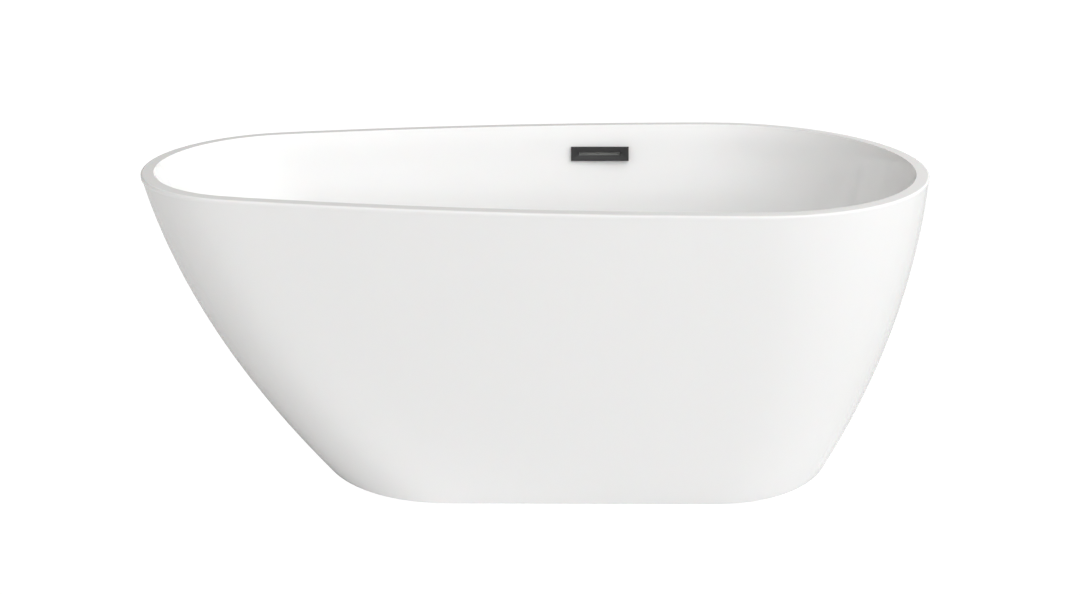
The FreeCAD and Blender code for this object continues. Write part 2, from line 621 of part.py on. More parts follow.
def plug_stem():
    stem = cylinder(STEM_RADIUS, STEM_BOTTOM, CAP_UNDERSIDE)
    return stem.fuse(cylinder(STEM_FOOT_RADIUS, STEM_BOTTOM, STEM_BOTTOM + STEM_FOOT_HEIGHT))


def plug_cartridge():
    body = cylinder(CARTRIDGE_RADIUS, CARTRIDGE_BOTTOM, CARTRIDGE_TOP)
    body = body.fuse(cylinder(CARTRIDGE_RADIUS + CARTRIDGE_COLLAR, HUB_TOP, CARTRIDGE_TOP))
    body = body.cut(cylinder(STEM_RADIUS + STEM_CLEARANCE, CHAMBER_TOP - 1, CARTRIDGE_TOP + 1))
    return body.cut(cylinder(CHAMBER_RADIUS, CHAMBER_BOTTOM, CHAMBER_TOP))


def plug_spring():
    length = STEM_BOTTOM - CHAMBER_BOTTOM - SPRING_WIRE - 2 * SPRING_GAP
    start = Vector(DRAIN_X, 0, CHAMBER_BOTTOM + 0.5 * SPRING_WIRE + SPRING_GAP)
    helix = Part.makeHelix(length / SPRING_TURNS, length, SPRING_RADIUS)
    helix.translate(start)
    wire_end = Part.Circle(start + Vector(SPRING_RADIUS, 0, 0), Vector(0, 1, 0), 0.5 * SPRING_WIRE)
    profile = Part.Wire([wire_end.toShape()])
    return Part.Wire(helix.Edges).makePipeShell([profile], True, True)


# ---- overflow --------------------------------------------------------------------------------------
OVERFLOW_Z = HEIGHT - OVERFLOW_DROP


def wall_y(height):
    return side_y(height, well_inset(height), DRAIN_X)


WALL_LEAN = math.atan2(wall_y(OVERFLOW_Z + 1) - wall_y(OVERFLOW_Z - 1), 2.0)
WALL_POINT = Vector(DRAIN_X, wall_y(OVERFLOW_Z), OVERFLOW_Z)
WALL_UP = Vector(0, math.sin(WALL_LEAN), math.cos(WALL_LEAN))
WALL_OUT = Vector(0, -math.cos(WALL_LEAN), math.sin(WALL_LEAN))
WALL_PLACEMENT = FreeCAD.Placement(WALL_POINT, FreeCAD.Rotation(Vector(1, 0, 0), WALL_UP, WALL_OUT, "XYZ"))


def on_wall(shape):
    """Place a shape made with X along the tub, Y up the wall and Z out of the wall into the bath."""
    shape.Placement = WALL_PLACEMENT.multiply(shape.Placement)
    return shape


def wall_box(width, height, back, front, middle=0.0):
    corner = Vector(-0.5 * width, middle - 0.5 * height, back)
    return on_wall(Part.makeBox(width, height, front - back, corner))


def wall_rectangle(width, height, out):
    w = 0.5 * width
    h = 0.5 * height
    return Part.makePolygon([Vector(x, y, out) for x, y in ((-w, -h), (w, -h), (w, h), (-w, h), (-w, -h))])


def wall_bolts(radius, back, front):
    bolts = [Part.makeCylinder(radius, front - back, Vector(side * 0.5 * OVERFLOW_SCREW_SPACING, 0, back))
             for side in (-1, 1)]
    return on_wall(Part.makeCompound(bolts))


def wall_openings():
    slot = wall_box(WALL_SLOT_WIDTH, WALL_SLOT_HEIGHT, -2 * BACK_PLATE_SETBACK, COVER_DEPTH)
    screws = wall_bolts(OVERFLOW_SCREW_RADIUS + SCREW_CLEARANCE, -2 * BACK_PLATE_SETBACK, COVER_DEPTH)
    return slot.fuse(screws)


def overflow_cover():
    block = wall_box(COVER_WIDTH, COVER_HEIGHT, -2 * COVER_DEPTH, COVER_DEPTH)
    cover = block.common(well_solid(-COVER_SEAL, HEIGHT, FLOOR_HEIGHT))
    cover = cover.cut(wall_box(COVER_SLOT_WIDTH, COVER_SLOT_HEIGHT, -2 * COVER_DEPTH, COVER_DEPTH + 1))
    funnel = Part.makeLoft([
        wall_rectangle(COVER_WIDTH - 2 * COVER_EDGE, COVER_HEIGHT - 2 * COVER_EDGE, COVER_DEPTH),
        wall_rectangle(COVER_SLOT_WIDTH, COVER_SLOT_HEIGHT, COVER_DEPTH - COVER_FUNNEL)], True, True)
    cover = cover.cut(on_wall(funnel))
    return cover.cut(wall_bolts(OVERFLOW_SCREW_RADIUS, -2 * COVER_DEPTH, OVERFLOW_SCREW_END))


def overflow_front_seal():
    width = COVER_WIDTH - 2 * SEAL_SETBACK
    height = COVER_HEIGHT - 2 * SEAL_SETBACK
    block = wall_box(width, height, -2 * COVER_DEPTH, COVER_DEPTH)
    seal = block.common(WELL).cut(well_solid(-COVER_SEAL, HEIGHT, FLOOR_HEIGHT))
    return seal.cut(wall_openings())


BACK_PLATE_BACK = -BACK_PLATE_SETBACK - BACK_PLATE_THICKNESS
CHANNEL_BACK = -BACK_PLATE_SETBACK - CHANNEL_DEPTH
NECK_TOP = -0.5 * BACK_PLATE_HEIGHT
NECK_BOTTOM = NECK_TOP - NECK_LENGTH
SPIGOT_BORE = PIPE_RADIUS + PIPE_CLEARANCE
SPIGOT_RADIUS = SPIGOT_BORE + SPIGOT_WALL
SPIGOT_SETBACK = (BASIN_WALL + LAMINATE + PIPE_NUT_GAP
                  + SPIGOT_RADIUS + (1.0 + NUT_RIB_SHARE) * PIPE_NUT_WALL)


def overflow_back_seal():
    block = wall_box(BACK_PLATE_WIDTH, BACK_PLATE_HEIGHT, -BACK_PLATE_SETBACK, 0.5 * COVER_DEPTH)
    return block.cut(LAMINATE_OUTSIDE).cut(wall_openings())


def neck(inset, top, bottom):
    """Tapering duct from the wide shallow channel to a square box round the spigot's mouth."""
    reach = SPIGOT_RADIUS + NECK_MARGIN - inset
    wide = duct_corners(0.5 * CHANNEL_WIDTH - inset, CHANNEL_BACK + inset, -BACK_PLATE_SETBACK - inset, top)
    narrow = duct_corners(reach, -SPIGOT_SETBACK - reach, -SPIGOT_SETBACK + reach, bottom)
    rings = [wide, narrow]
    for i in range(4):
        j = (i + 1) % 4
        rings.append([wide[i], wide[j], narrow[j], narrow[i]])
    faces = [Part.Face(Part.makePolygon(r + r[:1])) for r in rings]
    return on_wall(Part.makeSolid(Part.makeShell(faces)))


def duct_corners(half_width, back, front, level):
    return [Vector(x, level, out) for x, out in
            ((-half_width, back), (half_width, back), (half_width, front), (-half_width, front))]


def overflow_body():
    body = wall_box(BACK_PLATE_WIDTH, BACK_PLATE_HEIGHT, BACK_PLATE_BACK, -BACK_PLATE_SETBACK)
    body = body.fuse(wall_box(CHANNEL_WIDTH, BACK_PLATE_HEIGHT, CHANNEL_BACK, -BACK_PLATE_SETBACK))
    body = body.fuse(neck(0.0, NECK_TOP, NECK_BOTTOM))
    body = body.fuse(spigot_cylinder(SPIGOT_RADIUS, NECK_BOTTOM + CHANNEL_WALL, SPIGOT_LENGTH + CHANNEL_WALL))
    inside = wall_box(CHANNEL_WIDTH - 2 * CHANNEL_WALL, BACK_PLATE_HEIGHT - CHANNEL_WALL,
                      CHANNEL_BACK + CHANNEL_WALL, BACK_PLATE_BACK, -0.5 * CHANNEL_WALL)
    body = body.cut(inside).cut(neck(CHANNEL_WALL, NECK_TOP, NECK_BOTTOM + CHANNEL_WALL))
    body = body.cut(wall_box(WALL_SLOT_WIDTH - 4, WALL_SLOT_HEIGHT - 2, BACK_PLATE_BACK - 1, 0.0))
    bore_top = NECK_BOTTOM + 2 * CHANNEL_WALL
    body = body.cut(spigot_cylinder(SPIGOT_BORE, bore_top, SPIGOT_LENGTH + 4 * CHANNEL_WALL))
    return body.cut(wall_bolts(OVERFLOW_SCREW_RADIUS + SCREW_CLEARANCE, BACK_PLATE_BACK - 1, 0.0))


def spigot_cylinder(radius, top, length):
    return on_wall(Part.makeCylinder(radius, length, Vector(0, top, -SPIGOT_SETBACK), Vector(0, -1, 0)))


def overflow_screws():
    heads = wall_bolts(OVERFLOW_HEAD_RADIUS, BACK_PLATE_BACK - OVERFLOW_HEAD_HEIGHT, BACK_PLATE_BACK)
    shanks = wall_bolts(OVERFLOW_SCREW_RADIUS, BACK_PLATE_BACK, OVERFLOW_SCREW_END)
    return heads.fuse(shanks)


SPIGOT_MOUTH = WALL_PLACEMENT.multVec(Vector(0, NECK_BOTTOM - SPIGOT_LENGTH, -SPIGOT_SETBACK))
INLET_MOUTH = Vector(DRAIN_X, INLET_REACH, PIPE_AXIS_HEIGHT)


def pipe_path():
    """Down the slope behind the wall, round one bend and level to the waste body."""
    start = SPIGOT_MOUTH + WALL_UP * PIPE_ENTRY
    corner = start - WALL_UP * ((start.z - PIPE_AXIS_HEIGHT) / WALL_UP.z)
    end = INLET_MOUTH - Vector(0, PIPE_ENTRY, 0)
    turn = 0.5 * math.pi - WALL_LEAN
    setback = PIPE_BEND * math.tan(0.5 * turn)
    bend_start = corner + WALL_UP * setback
    bend_end = corner - Vector(0, setback, 0)
    middle = bend_start + bend_end - corner * 2.0
    centre_gap = PIPE_BEND / math.cos(0.5 * turn)
    bend_middle = corner + middle.normalize() * (centre_gap - PIPE_BEND)
    edges = [Part.LineSegment(start, bend_start).toShape(),
             Part.Arc(bend_start, bend_middle, bend_end).toShape(),
             Part.LineSegment(bend_end, end).toShape()]
    return Part.Wire(edges), start


def overflow_pipe():
    path, start = pipe_path()
    outside = swept_round(path, start, PIPE_RADIUS)
    return outside.cut(swept_round(path, start, PIPE_RADIUS - PIPE_WALL))


def swept_round(path, start, radius):
    profile = Part.Wire([Part.Circle(start, WALL_UP, radius).toShape()])
    return path.makePipeShell([profile], True, True)


# ---- assembly --------------------------------------------------------------------------------------
def build():
    parts["basin_shell"] = basin()
    parts["basin_laminate"] = basin_laminate()
    parts["skirt_shell"] = skirt()
    parts["skirt_laminate"] = skirt_laminate()
    parts["base_board"] = base_board()
    parts["rail_front"] = rail(RAIL_Y[0])
    parts["rail_back"] = rail(RAIL_Y[1])
    for place, x in CROSS_AT.items():
        parts["cross_member_" + place] = cross_member(x)
    parts["long_screws"] = Part.makeCompound([screw(*place) for place in long_screw_places()])
    parts["short_screws"] = Part.makeCompound([screw(*place) for place in short_screw_places()])
    for place, (x, y) in FOOT_AT.items():
        parts["foot_pad_" + place] = foot_pad(x, y)
        parts["foot_stud_" + place] = foot_stud(x, y)
    parts["weld_nuts"] = Part.makeCompound([foot_nut(x, y, CROSS_UNDERSIDE) for x, y in FOOT_AT.values()])
    parts["lock_nuts"] = Part.makeCompound(
        [foot_nut(x, y, CROSS_UNDERSIDE - NUT_HEIGHT) for x, y in FOOT_AT.values()])
    parts["drain_flange"] = drain_flange()
    parts["drain_seal"] = ring(FLANGE_RADIUS - SEAL_SETBACK, FLOOR_HOLE_RADIUS,
                               FLANGE_SEAT, FLANGE_UNDERSIDE)
    parts["waste_washer"] = ring(WASTE_COLLAR_RADIUS - SEAL_SETBACK, FLOOR_HOLE_RADIUS,
                                 COLLAR_TOP, LAMINATE_UNDERSIDE)
    parts["waste_body"] = waste_body()
    parts["tailpiece"] = tailpiece()
    joint_set("tailpiece", SPIGOT_OUTER, TAIL_OUTER_RADIUS, NUT_WALL,
              Vector(DRAIN_X, 0, WASTE_BODY_BOTTOM), Vector(0, 0, -1))
    parts["plug_cap"] = plug_cap()
    parts["plug_seal"] = plug_seal()
    parts["plug_stem"] = plug_stem()
    parts["plug_cartridge"] = plug_cartridge()
    parts["plug_spring"] = plug_spring()
    parts["overflow_cover"] = overflow_cover()
    parts["overflow_front_seal"] = overflow_front_seal()
    parts["overflow_back_seal"] = overflow_back_seal()
    parts["overflow_body"] = overflow_body()
    parts["overflow_screws"] = overflow_screws()
    parts["overflow_pipe"] = overflow_pipe()
    joint_set("pipe_top", SPIGOT_RADIUS, PIPE_RADIUS, PIPE_NUT_WALL, SPIGOT_MOUTH, WALL_UP * -1.0)
    joint_set("pipe_bottom", INLET_OUTER, PIPE_RADIUS, PIPE_NUT_WALL, INLET_MOUTH, Vector(0, 1, 0))


build()
os.makedirs("parts", exist_ok=True)
for name, shape in parts.items():
    shape.exportStep("parts/" + name + ".step")
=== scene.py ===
import json
import math

import bmesh
import bpy
from mathutils import Matrix, Vector


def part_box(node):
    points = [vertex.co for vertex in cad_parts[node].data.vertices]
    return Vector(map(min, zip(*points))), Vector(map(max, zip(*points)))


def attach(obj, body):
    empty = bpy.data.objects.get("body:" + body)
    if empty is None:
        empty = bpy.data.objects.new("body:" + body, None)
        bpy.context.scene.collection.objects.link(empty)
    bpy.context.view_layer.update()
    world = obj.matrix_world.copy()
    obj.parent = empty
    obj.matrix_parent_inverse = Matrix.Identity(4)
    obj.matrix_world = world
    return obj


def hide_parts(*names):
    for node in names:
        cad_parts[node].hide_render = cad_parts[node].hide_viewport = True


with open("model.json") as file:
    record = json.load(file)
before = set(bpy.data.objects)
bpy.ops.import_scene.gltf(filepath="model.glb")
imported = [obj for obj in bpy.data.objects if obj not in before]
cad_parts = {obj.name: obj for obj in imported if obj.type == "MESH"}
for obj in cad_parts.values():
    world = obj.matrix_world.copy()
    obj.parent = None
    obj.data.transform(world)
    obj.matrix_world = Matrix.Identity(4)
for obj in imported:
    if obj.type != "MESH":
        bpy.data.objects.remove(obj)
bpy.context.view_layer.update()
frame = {"nodes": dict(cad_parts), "record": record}
NODES = frame["nodes"]
FEET = ("head_front", "head_back", "foot_front", "foot_back", "middle")

# ---- camera and light (metres, degrees) ---------------------------------------------------------
CAMERA_PLACE = Vector((0.011, -2.400, 1.1858))
CAMERA_PITCH = 19.79           # below level
FOCAL_SHARE = 1269.0 / 1080.0  # focal length over the frame's width
FILM_WIDTH = 36.0              # millimetres

# the surroundings' brightness: shares that grow towards each side, and more or less near the horizon
STUDIO_LIGHT = {"all round": 0.28, "right": 1.69, "low right": -0.57, "front": 1.49,
                "low front": -1.46}
LOW_FADE = 4.0                 # how fast the share near the horizon fades with height
DIMMEST = 0.03
WARM_SHADE = (1.0, 0.945, 0.87)            # tint of the dim side
BACKDROP = 1.08
FLOOR_HALF = 6.0
FLOOR_BOUNCE = 0.72            # the floor's own grey, for the light that it throws back
FLOOR_GLOW = 0.93              # share of backdrop white in what the camera sees of the floor

# ---- sizes of the added detail (metres) ---------------------------------------------------------
THREAD_PITCH = 0.00175
THREAD_DEPTH = 0.0009
THREAD_STEPS = 28                # points round one turn of a thread
COVER_BEVEL = 0.0004
NUT_BEVEL = 0.0005
SCREW_HEAD_HEIGHT = 0.003
SCREW_POINT = 0.0015           # length of a screw's tapered tip
SCREW_TIP_RADIUS = 0.0004
SHANK_OVERLAP = 0.0001         # how far a shank starts inside its head
SHANK_STEPS = 24
PAD_RIB_COUNT = 18
PAD_RIB_RADIUS = 0.0009
WELD_SPREAD = 1.01             # weld ring's width over the nut's


# ---- shader building blocks ---------------------------------------------------------------------
class Nodes:
    """Makes nodes in one tree, sets their inputs and links them."""

    def __init__(self, tree):
        self.tree = tree

    def add(self, kind, inputs=None, **settings):
        node = self.tree.nodes.new(kind)
        for name, value in settings.items():
            setattr(node, name, value)
        for name, value in (inputs or {}).items():
            if isinstance(value, bpy.types.NodeSocket):
                self.tree.links.new(value, node.inputs[name])
            else:
                node.inputs[name].default_value = value
        return node

    def math(self, operation, *values, clamp=False):
        return self.add("ShaderNodeMath", dict(enumerate(values)), operation=operation,
                        use_clamp=clamp).outputs[0]

    def noise(self, place, scale, detail=2.0, roughness=0.5):
        return self.add("ShaderNodeTexNoise", {"Vector": place, "Scale": scale, "Detail": detail,
                                               "Roughness": roughness}).outputs["Fac"]

    def stretched(self, place, scale):
        return self.add("ShaderNodeVectorMath", {0: place, 1: scale}, operation="MULTIPLY").outputs[0]

    def blend(self, share, low, high):
        mix = self.add("ShaderNodeMix", data_type="RGBA")
        for index, value in ((0, share), (6, low), (7, high)):
            if isinstance(value, bpy.types.NodeSocket):
                self.tree.links.new(value, mix.inputs[index])
            else:
                mix.inputs[index].default_value = value
        return mix.outputs[2]

    def link(self, source, target):
        self.tree.links.new(source, target)


def shader_group(name, inputs, outputs):
    """An empty node group; its sockets are name -> (type, default) and name -> type."""
    group = bpy.data.node_groups.new(name, "ShaderNodeTree")
    for label, (kind, value) in inputs.items():
        socket = group.interface.new_socket(label, in_out="INPUT", socket_type="NodeSocket" + kind)
        socket.default_value = value
    for label, kind in outputs.items():
        group.interface.new_socket(label, in_out="OUTPUT", socket_type="NodeSocket" + kind)
    nodes = Nodes(group)
    return group, nodes, nodes.add("NodeGroupInput").outputs, nodes.add("NodeGroupOutput").inputs


def make_surface_wear():
    """Slow changes of tone and polish with a fine skin texture: for anything cast, moulded or coated."""
    group, n, given, out = shader_group(
        "surface wear",
        {"Colour": ("Color", (0.8, 0.8, 0.8, 1.0)), "Tone Change": ("Float", 0.02),
         "Cloud Scale": ("Float", 6.0), "Roughness": ("Float", 0.3), "Polish Change": ("Float", 0.05),
         "Skin Scale": ("Float", 400.0), "Skin Height": ("Float", 0.1), "Skin Depth": ("Float", 0.0002)},
        {"Colour": "Color", "Roughness": "Float", "Normal": "Vector"})
    place = n.add("ShaderNodeTexCoord").outputs["Object"]
    clouds = n.math("SUBTRACT", n.noise(place, given["Cloud Scale"], 3.0), 0.5)
    tone = n.math("MULTIPLY_ADD", clouds, given["Tone Change"], 1.0)
    colour = n.add("ShaderNodeVectorMath", {0: given["Colour"], 1: tone}, operation="MULTIPLY")
    polish = n.math("SUBTRACT", n.noise(place, 37.0, 4.0), 0.5)
    rough = n.math("MULTIPLY_ADD", polish, given["Polish Change"], given["Roughness"], clamp=True)
    bump = n.add("ShaderNodeBump", {"Strength": given["Skin Height"], "Distance": given["Skin Depth"],
                                    "Height": n.noise(place, given["Skin Scale"], 2.0)})
    n.link(colour.outputs[0], out["Colour"])
    n.link(rough, out["Roughness"])
    n.link(bump.outputs["Normal"], out["Normal"])
    return group


def make_edge_rub_and_highlight():
    """1 on rubbed convex edges, broken up so that the rubbing is uneven, 0 elsewhere. On the black
    coating the lighter edges it gives are partly wear and partly a painted highlight.
    """
    group, n, given, out = shader_group(
        "edge rub and highlight", {"Width": ("Float", 0.001), "Breakup Scale": ("Float", 300.0)}, {"Rub": "Float"})
    place = n.add("ShaderNodeTexCoord").outputs["Object"]
    round_normal = n.add("ShaderNodeBevel", {"Radius": given["Width"]}, samples=4).outputs[0]
    flat_normal = n.add("ShaderNodeNewGeometry").outputs["Normal"]
    bend = n.add("ShaderNodeVectorMath", {0: round_normal, 1: flat_normal}, operation="DOT_PRODUCT")
    edge = n.math("MULTIPLY", n.math("SUBTRACT", 1.0, bend.outputs["Value"]), 9.0, clamp=True)
    broken = n.math("MULTIPLY", n.noise(place, given["Breakup Scale"], 3.0), 1.5, clamp=True)
    n.link(n.math("MULTIPLY", edge, broken), out["Rub"])
    return group


def make_settled_dust():
    """How much dust has settled: most on faces that look up, in soft patches."""
    group, n, given, out = shader_group(
        "settled dust", {"Amount": ("Float", 0.2), "Patch Scale": ("Float", 18.0)}, {"Dust": "Float"})
    place = n.add("ShaderNodeTexCoord").outputs["Object"]
    upward = n.add("ShaderNodeSeparateXYZ", {0: n.add("ShaderNodeNewGeometry").outputs["Normal"]})
    facing = n.math("MAXIMUM", upward.outputs["Z"], 0.15)
    patches = n.noise(place, given["Patch Scale"], 5.0, 0.65)
    n.link(n.math("MULTIPLY", n.math("MULTIPLY", facing, patches), given["Amount"], clamp=True),
           out["Dust"])
    return group


SURFACE_WEAR = make_surface_wear()
EDGE_RUB_AND_HIGHLIGHT = make_edge_rub_and_highlight()
SETTLED_DUST = make_settled_dust()


def new_material(name, **fixed):
    """A material with constant values set straight on its shader."""
    material = bpy.data.materials.new(name)
    material.use_nodes = True
    surface = material.node_tree.nodes["Principled BSDF"]
    for label, value in fixed.items():
        surface.inputs[label.replace("_", " ")].default_value = value
    return material, Nodes(material.node_tree), surface


def worn_surface(n, surface, colour, values):
    """The surface wear group, set up and linked to the shader; returns its colour."""
    wear = n.add("ShaderNodeGroup", node_tree=SURFACE_WEAR)
    if isinstance(colour, bpy.types.NodeSocket):
        n.link(colour, wear.inputs["Colour"])
    else:
        wear.inputs["Colour"].default_value = (*colour, 1.0)
    for label, value in values.items():
        wear.inputs[label].default_value = value
    n.link(wear.outputs["Colour"], surface.inputs["Base Color"])
    n.link(wear.outputs["Roughness"], surface.inputs["Roughness"])
    n.link(wear.outputs["Normal"], surface.inputs["Normal"])
    return wear.outputs["Colour"]


def dusted(n, surface, colour, amount, dust_colour=(0.42, 0.41, 0.39, 1.0)):
    dust = n.add("ShaderNodeGroup", {"Amount": amount}, node_tree=SETTLED_DUST).outputs["Dust"]
    n.link(n.blend(dust, colour, dust_colour), surface.inputs["Base Color"])


# ---- materials ----------------------------------------------------------------------------------
def gloss_acrylic():
    material, n, surface = new_material("white gloss acrylic", IOR=1.49, Coat_Weight=0.25,
                                        Coat_Roughness=0.05, Subsurface_Weight=0.06,
                                        Subsurface_Scale=0.004)
    worn_surface(n, surface, (0.875, 0.875, 0.872),
                 {"Tone Change": 0.008, "Cloud Scale": 2.5, "Roughness": 0.14, "Polish Change": 0.05,
                  "Skin Scale": 48.0, "Skin Height": 0.05, "Skin Depth": 0.0001})
    return material


def matt_black():
    material, n, surface = new_material("matt black coating", IOR=1.5)
    # lighter convex edges: partly rubbed wear, partly a painted highlight along every edge of the cover,
    # plug and flange
    rub_and_highlight = n.add("ShaderNodeGroup", {"Width": 0.0006, "Breakup Scale": 500.0}, node_tree=EDGE_RUB_AND_HIGHLIGHT)
    colour = n.blend(rub_and_highlight.outputs["Rub"], (0.0135, 0.0135, 0.014, 1.0), (0.05, 0.05, 0.052, 1.0))
    worn_surface(n, surface, colour,
                 {"Tone Change": 0.25, "Cloud Scale": 70.0, "Roughness": 0.46, "Polish Change": 0.14,
                  "Skin Scale": 2600.0, "Skin Height": 0.3, "Skin Depth": 0.00005})
    return material


def glass_fibre():
    """Chopped strands set in milky resin, with gloss where the resin has pooled."""
    material, n, surface = new_material("glass fibre laminate", IOR=1.52, Coat_Weight=0.3,
                                        Coat_Roughness=0.35)
    place = n.add("ShaderNodeTexCoord").outputs["Object"]
    drift = n.add("ShaderNodeTexNoise", {"Vector": place, "Scale": 9.0, "Detail": 2.0})
    strands = None
    for turn in ((1.0, 9.0, 5.0), (8.0, 1.0, 6.0), (5.0, 7.0, 1.0)):
        bent = n.add("ShaderNodeVectorMath", {0: place, 1: n.stretched(drift.outputs["Color"],
                                                                       (0.05, 0.05, 0.05))},
                     operation="ADD").outputs[0]
        cells = n.add("ShaderNodeTexVoronoi", {"Vector": n.stretched(bent, turn), "Scale": 22.0},
                      feature="DISTANCE_TO_EDGE").outputs["Distance"]
        line = n.math("SUBTRACT", 1.0, n.math("MULTIPLY", cells, 9.0), clamp=True)
        strands = line if strands is None else n.math("MAXIMUM", strands, line)
    patches = n.noise(place, 14.0, 4.0)
    resin = n.blend(patches, (0.62, 0.63, 0.54, 1.0), (0.75, 0.75, 0.68, 1.0))
    colour = n.blend(n.math("MULTIPLY", strands, 0.55), resin, (0.86, 0.87, 0.83, 1.0))
    dusted(n, surface, colour, 0.25)
    n.link(n.math("MULTIPLY_ADD", patches, 0.35, 0.3, clamp=True), surface.inputs["Roughness"])
    height = n.math("ADD", strands, n.math("MULTIPLY", n.noise(place, 160.0, 3.0), 0.6))
    bump = n.add("ShaderNodeBump", {"Strength": 0.7, "Distance": 0.0006, "Height": height})
    n.link(bump.outputs["Normal"], surface.inputs["Normal"])
    return material


def plywood():
    """Rotary-cut face grain along X, and the stacked veneers on the board's edges."""
    material, n, surface = new_material("birch plywood", Specular_IOR_Level=0.35)
    place = n.add("ShaderNodeTexCoord").outputs["Object"]
    sway = n.add("ShaderNodeTexNoise", {"Vector": n.stretched(place, (1.6, 6.0, 6.0)), "Scale": 2.0,
                                        "Detail": 3.0}).outputs["Color"]
    bent = n.add("ShaderNodeVectorMath", {0: place, 1: n.stretched(sway, (0.0, 0.09, 0.0))},
                 operation="ADD").outputs[0]
    rings = n.add("ShaderNodeTexWave", {"Vector": n.stretched(bent, (0.5, 9.0, 1.0)), "Scale": 2.2,
                                        "Distortion": 4.0, "Detail": 3.0},
                  bands_direction="Y").outputs["Fac"]
    pores = n.noise(n.stretched(place, (40.0, 900.0, 900.0)), 1.0, 2.0)
    face = n.blend(rings, (0.52, 0.35, 0.19, 1.0), (0.7, 0.53, 0.33, 1.0))
    face = n.blend(n.math("MULTIPLY", n.math("GREATER_THAN", pores, 0.63), 0.35), face,
                   (0.3, 0.19, 0.1, 1.0))
    level = n.add("ShaderNodeSeparateXYZ", {0: place}).outputs["Z"]
    veneer = n.math("GREATER_THAN", n.math("FRACT", n.math("MULTIPLY", level, 1.0 / 0.0034)), 0.5)
    edge = n.blend(veneer, (0.35, 0.22, 0.12, 1.0), (0.68, 0.52, 0.34, 1.0))
    up = n.add("ShaderNodeSeparateXYZ", {0: n.add("ShaderNodeNewGeometry").outputs["Normal"]})
    flat = n.math("GREATER_THAN", n.math("ABSOLUTE", up.outputs["Z"]), 0.5)
    dusted(n, surface, n.blend(flat, edge, face), 0.3)
    n.link(n.math("MULTIPLY_ADD", rings, -0.15, 0.72), surface.inputs["Roughness"])
    bump = n.add("ShaderNodeBump", {"Strength": 0.4, "Distance": 0.0003,
                                    "Height": n.math("ADD", rings, pores)})
    n.link(bump.outputs["Normal"], surface.inputs["Normal"])
    return material


def coated_tube():
    """Grey powder coat with orange peel, chipped to bare steel on a few edges."""
    material, n, surface = new_material("grey powder coat", IOR=1.5)
    rub_and_highlight = n.add("ShaderNodeGroup", {"Width": 0.0009, "Breakup Scale": 120.0}, node_tree=EDGE_RUB_AND_HIGHLIGHT)
    chips = n.math("GREATER_THAN", rub_and_highlight.outputs["Rub"], 0.55)
    colour = n.blend(chips, (0.115, 0.12, 0.125, 1.0), (0.42, 0.41, 0.4, 1.0))
    worn = worn_surface(n, surface, colour,
                        {"Tone Change": 0.12, "Cloud Scale": 25.0, "Roughness": 0.42,
                         "Polish Change": 0.2, "Skin Scale": 520.0, "Skin Height": 0.55,
                         "Skin Depth": 0.00025})
    dusted(n, surface, worn, 0.5)
    n.link(n.math("MULTIPLY", chips, 0.9), surface.inputs["Metallic"])
    return material


def zinc_plate():
    material, n, surface = new_material("bright zinc plate", Metallic=1.0)
    place = n.add("ShaderNodeTexCoord").outputs["Object"]
    flow = n.noise(place, 110.0, 3.0)
    colour = n.blend(flow, (0.56, 0.57, 0.56, 1.0), (0.75, 0.745, 0.71, 1.0))
    worn_surface(n, surface, colour,
                 {"Tone Change": 0.25, "Cloud Scale": 45.0, "Roughness": 0.3, "Polish Change": 0.25,
                  "Skin Scale": 900.0, "Skin Height": 0.25, "Skin Depth": 0.0001})
    return material


def turned_brass():
    """Fine rings left by the lathe, a little tarnished."""
    material, n, surface = new_material("turned brass", Metallic=1.0)
    place = n.add("ShaderNodeTexCoord").outputs["Object"]
    rings = n.noise(n.stretched(place, (0.0, 0.0, 9000.0)), 1.0, 1.0)
    tarnish = n.noise(place, 60.0, 4.0)
    colour = n.blend(tarnish, (0.36, 0.25, 0.1, 1.0), (0.72, 0.55, 0.27, 1.0))
    n.link(colour, surface.inputs["Base Color"])
    n.link(n.math("MULTIPLY_ADD", tarnish, -0.25, 0.45), surface.inputs["Roughness"])
    bump = n.add("ShaderNodeBump", {"Strength": 0.25, "Distance": 0.00005, "Height": rings})
    n.link(bump.outputs["Normal"], surface.inputs["Normal"])
    return material


def spring_wire():
    material, n, surface = new_material("drawn spring wire", Metallic=1.0)
    worn_surface(n, surface, (0.5, 0.5, 0.51),
                 {"Tone Change": 0.3, "Cloud Scale": 300.0, "Roughness": 0.28, "Polish Change": 0.2,
                  "Skin Scale": 3000.0, "Skin Height": 0.2, "Skin Depth": 0.00003})
    return material


def plain_plastic(name, colour, roughness, dust):
    """Moulded plastic: spark-eroded skin, slight sheen changes and a little dust."""
    material, n, surface = new_material(name, IOR=1.46)
    worn = worn_surface(n, surface, colour,
                        {"Tone Change": 0.06, "Cloud Scale": 20.0, "Roughness": roughness,
                         "Polish Change": 0.16, "Skin Scale": 1500.0, "Skin Height": 0.35,
                         "Skin Depth": 0.00012})
    dusted(n, surface, worn, dust)
    return material


def rubber():
    material, n, surface = new_material("black rubber", IOR=1.52, Sheen_Weight=0.15)
    worn = worn_surface(n, surface, (0.022, 0.022, 0.023),
                        {"Tone Change": 0.5, "Cloud Scale": 90.0, "Roughness": 0.72,
                         "Polish Change": 0.2, "Skin Scale": 2200.0, "Skin Height": 0.5,
                         "Skin Depth": 0.0001})
    dusted(n, surface, worn, 0.25, (0.2, 0.2, 0.19, 1.0))
    return material


